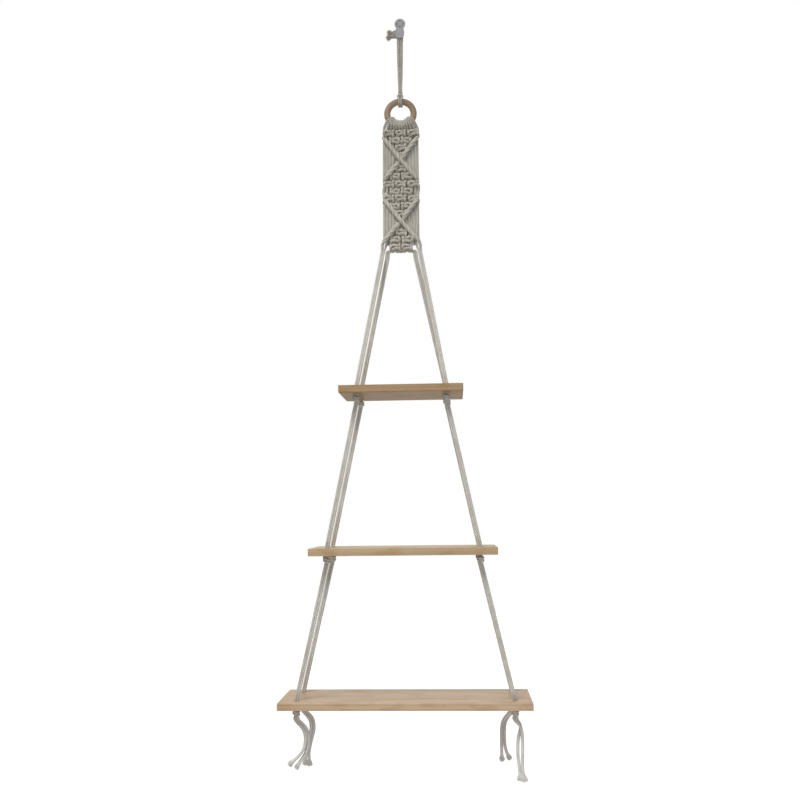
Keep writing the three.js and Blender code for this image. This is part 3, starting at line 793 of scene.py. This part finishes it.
def add_ropes(above, level, bodies):
    """The pairs of strands from one board down to the next."""
    drop = board_thickness(above) + seat_gap + knot_height - rope_end_depth
    tops = holes(above)
    for place, hole in holes(level).items():
        shell = Shell()
        for side in (-1, 1):
            shift = Vector((side * pair_pitch / 2, 0, 0))
            start = tops[place] - Vector((0, 0, drop)) + shift
            end = hole - Vector((0, 0, rope_end_depth)) + shift
            add_cord(shell, rope_way(start, end), cord_radius)
        body = bodies[0] if place.endswith("front") else bodies[1]
        cotton_piece(f"cotton_{level}_rope_{place}", shell, body, "rope", [f"{level}_rope_{place}"])


# The free cord ends, opened a little, and the rings counted back from the end for the yarns' direction
tail_radius = 0.0029
tail_fray_seed = 64
tail_seed_step = 2
end_rings = 3


def add_tails(level, body):
    """The free cord ends under the bottom board, each with its loose yarns."""
    drop = board_thickness(level) + seat_gap + knot_height + seat_gap
    for i, (name, steps) in enumerate(tail_routes.items()):
        place, _, mark = name.rpartition("_")
        side = -1 if mark == "a" else 1
        start = holes(level)[place] + Vector((side * (cord_radius + seat_gap / 2), 0, -drop))
        shell, yarns = Shell(), Shell()
        steps = [Vector([value * millimetre for value in step]) for step in [*tail_start, *steps]]
        centres = add_cord(shell, [start + step for step in steps], tail_radius)
        # The tails and their yarns take the paler tail tone, painted light for the bottom board's shade
        tail = cotton_piece(f"cotton_tail_{name}", shell, body, "tail", [f"tail_{name}"])
        end, before = Vector(centres[-1]), Vector(centres[-1 - end_rings])
        add_fray(yarns, end, before, tail_radius, tail_fray_seed + tail_seed_step * i)
        fray = cotton_piece(f"fray_tail_{name}", yarns, body, "tail")


# How many steps round off a plate's edge
edge_steps = 3


def slab_mesh(name, outlines, thickness, ease):
    """A plate with rounded edges, cut out by the outlines, lying in the XY plane about Z = 0."""
    curve = bpy.data.curves.new(name, "CURVE")
    curve.dimensions = "2D"
    curve.fill_mode = "BOTH"
    curve.extrude = thickness / 2 - ease
    curve.bevel_depth = ease
    curve.bevel_resolution = edge_steps
    curve.offset = -ease
    for outline in outlines:
        spline = curve.splines.new("POLY")
        spline.points.add(len(outline) - 1)
        for point, (x, y) in zip(spline.points, outline):
            point.co = (x, y, 0, 1)
        spline.use_cyclic_u = True
    holder = bpy.data.objects.new(name, curve)
    mesh = bpy.data.meshes.new_from_object(holder)
    bpy.data.objects.remove(holder)
    mesh.polygons.foreach_set("use_smooth", [True] * len(mesh.polygons))
    return mesh


def arc(x, y, radius, start, end, count):
    """Points on an arc about a place, from one angle to another, in degrees."""
    angles = [math.radians(start + (end - start) * i / count) for i in range(count + 1)]
    return [(x + radius * math.cos(angle), y + radius * math.sin(angle)) for angle in angles]


def rounded_outline(reach, low, high, radius, count):
    """A rectangle with rounded corners, from how far out, down and up the corners' centres are."""
    outline = []
    for i, (x, y) in enumerate(((reach, high), (-reach, high), (-reach, low), (reach, low))):
        outline += arc(x, y, radius, 90 * i, 90 * i + 90, count)
    return outline


# A board's holes and corners
hole_radius = 0.0046
hole_points = 40
corner_points = 5


def add_board(level, body):
    """A board with its four holes."""
    low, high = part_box(f"{level}_shelf")
    middle = (low + high) / 2
    across, deep = (high.x - low.x) / 2 - corner_round, (high.y - low.y) / 2 - corner_round
    outlines = [rounded_outline(across, -deep, deep, corner_round, corner_points)]
    for hole in holes(level).values():
        place = hole - middle
        outlines.append(arc(place.x, place.y, hole_radius, 360, 360 / hole_points, hole_points - 1))
    mesh = slab_mesh(f"board_{level}", outlines, high.z - low.z, edge_round)
    mesh.transform(Matrix.Translation(middle))
    piece = add_piece(f"board_{level}", mesh, board_materials[level], body, [f"{level}_shelf"])
    piece.modifiers.new("normals", "WEIGHTED_NORMAL")


def smooth_mesh(name, corners, faces):
    """A mesh that is shaded smooth all over."""
    mesh = bpy.data.meshes.new(name)
    mesh.from_pydata(corners, [], faces)
    mesh.polygons.foreach_set("use_smooth", [True] * len(faces))
    return mesh


def turned_mesh(name, outline, steps):
    """A closed shell turned about the Z axis, from an outline of radii and heights."""
    corners = []
    for radius, height in outline:
        for i in range(steps):
            angle = 2 * math.pi * i / steps
            corners.append((radius * math.cos(angle), radius * math.sin(angle), height))
    lids = [tuple(reversed(range(steps))), tuple(range(len(corners) - steps, len(corners)))]
    return smooth_mesh(name, corners, ring_faces(len(outline), steps) + lids)


# The wooden ring: steps round it and round its bar
ring_steps = 96
ring_sides = 28


def add_ring():
    """The wooden ring, which hangs upright under the loop."""
    corners = []
    for i in range(ring_steps):
        angle = 2 * math.pi * i / ring_steps
        for j in range(ring_sides):
            turn = 2 * math.pi * j / ring_sides
            reach = ring_radius + ring_bar_radius * math.cos(turn)
            depth = ring_bar_radius * math.sin(turn)
            corners.append((reach * math.cos(angle), depth, reach * math.sin(angle)))
    mesh = smooth_mesh("ring_turned", corners, ring_faces(ring_steps, ring_sides, closed=True))
    mesh.transform(hanging @ Matrix.Translation((0, 0, -ring_drop)))
    add_piece("ring_turned", mesh, ring_material, "upper_frame", ["wooden_ring"])


# The wall hook's round plate with its neck, its tongue and the peg between them
plate_radius = 0.0095
plate_thickness = 0.0026
plate_round = 0.0009
plate_points = 48
neck_width = 0.011
neck_drop = 0.0255
neck_points = 20
hook_valley = 0.0084
tongue_thickness = 0.0024
tongue_width = 0.015
tongue_top_drop = 0.012
tongue_bottom_drop = 0.031
tongue_corner = 0.005
tongue_corner_points = 10
peg_radius = 0.0024
peg_flare = 0.0008
peg_steps = 32

# Its nails, each turned from an outline of radii and heights
nail_circle_radius = 0.0054
nail_outline = [(0.0012, 0), (0.0013, 0.0001), (0.0013, 0.00028), (0.0011, 0.00052), (0.0006, 0.00066)]
nail_steps = 20
nail_places = {
    "top": (0, nail_circle_radius),
    "left": (-nail_circle_radius, 0),
    "right": (nail_circle_radius, 0),
    "bottom": (0, -nail_circle_radius),
}


def upright(depth):
    """Turns a shape that lies in the XY plane to face the front, at a depth in front of the wall."""
    return Matrix.Translation((0, -depth, 0)) @ Matrix.Rotation(math.radians(90), 4, "X")


def joined_mesh(name, meshes):
    """One mesh of several, which are removed."""
    corners, faces = [], []
    for mesh in meshes:
        base = len(corners)
        corners.extend(tuple(vertex.co) for vertex in mesh.vertices)
        faces.extend([base + index for index in polygon.vertices] for polygon in mesh.polygons)
        bpy.data.meshes.remove(mesh)
    return smooth_mesh(name, corners, faces)


def plate_mesh():
    """The round plate that lies on the wall, with the neck below it."""
    half = neck_width / 2
    edge = math.degrees(math.atan2(math.sqrt(plate_radius ** 2 - half ** 2), half))
    outline = arc(0, 0, plate_radius, -edge, 180 + edge, plate_points)
    outline += arc(0, half - neck_drop, half, 180, 360, neck_points)
    mesh = slab_mesh("plate", [outline], plate_thickness, plate_round)
    mesh.transform(upright(plate_thickness / 2))
    return mesh


def tongue_mesh():
    """The upright tongue that keeps the loop on the peg."""
    reach = tongue_width / 2 - tongue_corner
    top, bottom = -tongue_top_drop - tongue_corner, tongue_corner - tongue_bottom_drop
    outline = rounded_outline(reach, bottom, top, tongue_corner, tongue_corner_points)
    mesh = slab_mesh("tongue", [outline], tongue_thickness, plate_round)
    mesh.transform(upright(plate_thickness + hook_valley + tongue_thickness / 2))
    return mesh


def peg_mesh():
    """The round peg between the plate and the tongue, wider where it meets them."""
    length = hook_valley + tongue_thickness
    rod = [(peg_radius + peg_flare, 0), (peg_radius + peg_flare / 3, peg_flare / 3), (peg_radius, peg_flare)]
    rod += [(radius, length - height) for radius, height in reversed(rod)]
    mesh = turned_mesh("peg", rod, peg_steps)
    mesh.transform(Matrix.Translation((0, 0, peg.z)) @ upright(plate_thickness - tongue_thickness / 2))
    return mesh


def add_hook():
    """The wall hook and its nails."""
    mesh = joined_mesh("hook_moulding", [plate_mesh(), tongue_mesh(), peg_mesh()])
    piece = add_piece("hook_moulding", mesh, hook_material, "wall_hook", ["hook_body"])
    piece.modifiers.new("normals", "WEIGHTED_NORMAL")
    for side, (x, z) in nail_places.items():
        nail = turned_mesh(f"nail_{side}", nail_outline, nail_steps)
        nail.transform(Matrix.Translation((x, 0, z)) @ upright(plate_thickness))
        add_piece(f"nail_{side}", nail, nail_material, "wall_hook", [f"hook_nail_{side}"])


class Nodes:
    """A tree of nodes while it is made."""

    def __init__(self, tree):
        self.tree = tree

    def node(self, kind, inputs, **settings):
        """Adds a node. An input is a value or another node's output."""
        node = self.tree.nodes.new(f"ShaderNode{kind}")
        for name, value in settings.items():
            setattr(node, name, value)
        for name, value in inputs.items():
            self.join(node.inputs[name], value)
        return node.outputs

    def join(self, socket, value):
        """Links another node's output to an input, or sets the input to a value."""
        if isinstance(value, bpy.types.NodeSocket):
            self.tree.links.new(value, socket)
        else:
            socket.default_value = value

    def mix(self, share, low, high, blend="MIX"):
        """Mixes two colours by a share. A Mix node takes them as its inputs 6 and 7."""
        node = self.tree.nodes.new("ShaderNodeMix")
        node.data_type = "RGBA"
        node.blend_type = blend
        for index, value in ((0, share), (6, low), (7, high)):
            self.join(node.inputs[index], value)
        return node.outputs[2]

    def spread(self, value, to, over=(0, 1)):
        """Maps a value from the range it varies over to another."""
        inputs = {"Value": value, "From Min": over[0], "From Max": over[1], "To Min": to[0], "To Max": to[1]}
        return self.node("MapRange", inputs)["Result"]

    def larger(self, first, second):
        """The larger of two values."""
        return self.node("Math", {0: first, 1: second}, operation="MAXIMUM")["Value"]

    def seen_directly(self):
        """A share that is 1 for what the camera, a mirror or glass sees."""
        path = self.node("LightPath", {})
        seen = self.larger(path["Is Camera Ray"], path["Is Glossy Ray"])
        return self.larger(seen, path["Is Transmission Ray"])

    def place(self):
        """Where a point lies in the part's own frame."""
        return self.node("TexCoord", {})["Object"]

    def noise(self, place, scale, detail=2, roughness=0.55):
        """Noise at a place, of one scale or one for each axis."""
        if isinstance(scale, tuple):
            place = self.node("Mapping", {"Vector": place, "Scale": scale})["Vector"]
            scale = 1
        inputs = {"Vector": place, "Scale": scale, "Detail": detail, "Roughness": roughness}
        return self.node("TexNoise", inputs)["Fac"]

    def bump(self, height, strength, distance):
        """A surface that rises with a height from 0 to 1, by a distance at most."""
        return self.node("Bump", {"Height": height, "Strength": strength, "Distance": distance})["Normal"]


class Looks(Nodes):
    """A material and its nodes."""

    def __init__(self, name):
        self.material = bpy.data.materials.new(name)
        self.material.use_nodes = True
        super().__init__(self.material.node_tree)

    def set(self, **inputs):
        """Sets inputs of the shader, with their spaces written as underscores."""
        for name, value in inputs.items():
            self.join(self.tree.nodes["Principled BSDF"].inputs[name.replace("_", " ")], value)


def colour(red, green, blue):
    """A colour given as it looks on a screen, from 0 to 255."""
    linear = [((value / 255 + 0.055) / 1.055) ** 2.4 for value in (red, green, blue)]
    return (*linear, 1)


# Cotton: fibres along the lay, painted shade in the valleys between its plies, and patches of tone
fibre_scale = (4, 34, 1)
fibre_depth = 0.0003
patch_scale = 55
patch_tone = colour(214, 206, 194)
# Each piece's tones, as valley, crown and loose fibres: the valley tone is painted shade between the plies
cotton_tones = {
    "band": ((148, 142, 131), (198, 193, 182), (218, 214, 204)),
    "rope": ((160, 155, 145), (209, 205, 196), (230, 227, 220)),
    # The tail tone is a paler copy of the cotton, painted light for the tails that hang in the bottom board's
    # shade
    "tail": ((168, 164, 158), (232, 230, 225), (248, 247, 244)),
}


def cotton_looks(name, valley, crown, loose):
    """Twisted cotton, with painted shade in the valleys between its plies, and paler where fibres stand out."""
    looks = Looks(name)
    valley, crown, loose = colour(*valley), colour(*crown), colour(*loose)
    lay = looks.node("UVMap", {}, uv_map="Lay")["UV"]
    fibres = looks.noise(lay, fibre_scale, detail=4, roughness=0.65)
    around = looks.node("SeparateXYZ", {"Vector": lay})["Y"]
    counted = looks.node("Math", {0: around, 1: ply_count}, operation="MULTIPLY")["Value"]
    rise = looks.node("Math", {0: counted, 1: 0.5}, operation="PINGPONG")["Value"]
    patches = looks.noise(looks.place(), patch_scale)
    # Painted shade: the tone falls from the crown tone to the valley tone in the grooves between the plies
    tone = looks.mix(looks.spread(rise, to=(0, 1), over=(0, 0.3)), valley, crown)
    tone = looks.mix(looks.spread(patches, to=(0, 0.5), over=(0.35, 0.7)), tone, patch_tone, "MULTIPLY")
    tone = looks.mix(looks.spread(fibres, to=(0, 0.45), over=(0.35, 0.75)), tone, loose)
    bump = looks.bump(fibres, strength=0.7, distance=fibre_depth)
    looks.set(Base_Color=tone, Roughness=0.92, Normal=bump, Sheen_Weight=0.3, Sheen_Roughness=0.5)
    looks.set(Specular_IOR_Level=0.2)
    return looks.material


# Wood: growth rings, fine pores along the grain, broad streaks and clouds
ring_waves = {"Distortion": 3.0, "Detail": 2.0, "Detail Scale": 0.35}
pore_scale = (14, 800, 800)
pore_depth = 0.0002
broad_scale = (3, 30, 30)
cloud_scale = (22, 40, 70)
cloud_tone = colour(228, 214, 194)


def wood_looks(name, pale, deep, core, along, ring_scale, shine):
    """Straight-grained wood, with growth rings about a core line and fine pores along the grain."""
    looks = Looks(name)
    pale, deep = colour(*pale), colour(*deep)
    place = looks.place()
    moved = looks.node("Mapping", {"Vector": place, "Location": core, "Scale": along})["Vector"]
    inputs = {"Vector": moved, "Scale": ring_scale, **ring_waves}
    rings = looks.node("TexWave", inputs, wave_type="RINGS", rings_direction="X", wave_profile="SIN")["Fac"]
    pores = looks.noise(place, pore_scale, detail=3)
    broad = looks.noise(place, broad_scale)
    clouds = looks.noise(place, cloud_scale)
    tone = looks.mix(looks.spread(rings, to=(0, 0.55)), pale, deep)
    tone = looks.mix(looks.spread(broad, to=(0, 0.45), over=(0.35, 0.65)), tone, deep)
    tone = looks.mix(looks.spread(clouds, to=(0, 0.55), over=(0.48, 0.62)), tone, cloud_tone, "MULTIPLY")
    tone = looks.mix(looks.spread(pores, to=(0.25, 0), over=(0.3, 0.55)), tone, deep)
    bump = looks.bump(pores, strength=0.25, distance=pore_depth)
    looks.set(Base_Color=tone, Roughness=looks.spread(pores, to=(0.52, 0.42)), Normal=bump)
    looks.set(Specular_IOR_Level=shine)
    return looks.material


# The hook's plastic and its nails' steel
plastic_grain_scale = 1800
plastic_grain_depth = 0.0001
plastic_patch_scale = 90
plastic_tones = (colour(164, 164, 167), colour(176, 176, 179))
scratch_scale = (4000, 900, 600)
scratch_depth = 0.00005
steel_tones = (colour(92, 92, 96), colour(120, 120, 122))


def plastic_looks():
    """Satin grey plastic with a fine grain."""
    looks = Looks("hook_plastic")
    place = looks.place()
    fine = looks.noise(place, plastic_grain_scale)
    broad = looks.noise(place, plastic_patch_scale)
    tone = looks.mix(looks.spread(broad, to=(0, 1), over=(0.3, 0.7)), *plastic_tones)
    bump = looks.bump(fine, strength=0.12, distance=plastic_grain_depth)
    looks.set(Base_Color=tone, Roughness=looks.spread(fine, to=(0.38, 0.5)), Normal=bump)
    return looks.material


def steel_looks():
    """Dull steel with fine scratches."""
    looks = Looks("nail_steel")
    scratches = looks.noise(looks.place(), scratch_scale, detail=3)
    bump = looks.bump(scratches, strength=0.2, distance=scratch_depth)
    looks.set(Base_Color=looks.mix(scratches, *steel_tones), Metallic=1.0, Normal=bump)
    looks.set(Roughness=looks.spread(scratches, to=(0.35, 0.55)))
    return looks.material


# Each board's pale and deep wood, the core of its growth rings, and how much it shines
board_woods = {
    "top": ((171, 146, 113), (146, 120, 89), (0, 0.11, 0.615), 0.04),
    "middle": ((183, 161, 129), (158, 134, 101), (0, 0.03, 0.99), 0.3),
    "bottom": ((188, 163, 133), (162, 135, 103), (0, 0.09, 1.1), 0.6),
}
board_along = (0.05, 1, 1)
board_ring_scale = 60
ring_wood = {
    "pale": (166, 145, 120), "deep": (138, 116, 91), "core": (0, 0.02, 0.2), "along": (1, 1, 1),
    "ring_scale": 70, "shine": 0.3,
}

cotton_materials = {name: cotton_looks(f"cotton_{name}", *tones) for name, tones in cotton_tones.items()}
board_materials = {
    level: wood_looks(f"board_wood_{level}", pale, deep, core, board_along, board_ring_scale, shine)
    for level, (pale, deep, core, shine) in board_woods.items()
}
ring_material = wood_looks("ring_wood", **ring_wood)
hook_material = plastic_looks()
nail_material = steel_looks()

# Lamps: a soft key from above the left, and a broad fill from below, in watts and degrees
lamps = {
    "key": {"place": (-0.6, -1.2, 0.9), "aim": (0, -0.06, -1.15), "size": 0.8, "power": 3.6, "spread": 48},
    "fill": {"place": (0.5, -1.7, -2.0), "aim": (0, -0.06, -1.0), "size": 1.2, "power": 9.5, "spread": 150},
}
world_light = 0.42
floor_drop = 2.2
floor_half = 12
floor_glow = 0.85
floor_tone = (0.85, 0.85, 0.85, 1)
white = (1, 1, 1, 1)


def add_lamp(name, place, aim, size, power, spread):
    """A square lamp that shines at a point."""
    lamp = bpy.data.lights.new(name, "AREA")
    lamp.size = size
    lamp.energy = power
    lamp.spread = math.radians(spread)
    holder = bpy.data.objects.new(name, lamp)
    holder.matrix_world = aimed(Vector(place), Vector(aim) - Vector(place))
    scene.collection.objects.link(holder)


def add_world():
    """A white background that lights the object less than it shows."""
    world = bpy.data.worlds.new("studio")
    world.use_nodes = True
    nodes = Nodes(world.node_tree)
    background = nodes.tree.nodes["Background"].inputs
    nodes.join(background["Color"], white)
    nodes.join(background["Strength"], nodes.spread(nodes.seen_directly(), to=(world_light, 1)))
    scene.world = world


def add_floor():
    """A floor far below the shelf, which shows as white as the background."""
    mesh = bpy.data.meshes.new("floor")
    corners = [(-1, -1), (1, -1), (1, 1), (-1, 1)]
    mesh.from_pydata([(x * floor_half, y * floor_half, -floor_drop) for x, y in corners], [], [(0, 1, 2, 3)])
    floor = bpy.data.objects.new("floor", mesh)
    scene.collection.objects.link(floor)
    looks = Looks("floor")
    looks.set(Base_Color=floor_tone, Roughness=0.9, Emission_Color=white)
    looks.set(Emission_Strength=looks.spread(looks.seen_directly(), to=(0, floor_glow)))
    mesh.materials.append(looks.material)


scene.view_settings.view_transform = "Standard"
add_camera()
add_tails("bottom", "bottom_tier")
add_band()
add_loop()
add_ring()
for level, body in (("top", "upper_frame"), ("middle", "middle_tier"), ("bottom", "bottom_tier")):
    add_board(level, body)
    add_board_knots(level, body)
add_ropes("top", "middle", ("middle_front_pair", "middle_back_pair"))
add_ropes("middle", "bottom", ("bottom_front_pair", "bottom_back_pair"))
add_hook()
add_world()
add_floor()
for name, settings in lamps.items():
    add_lamp(name, **settings)
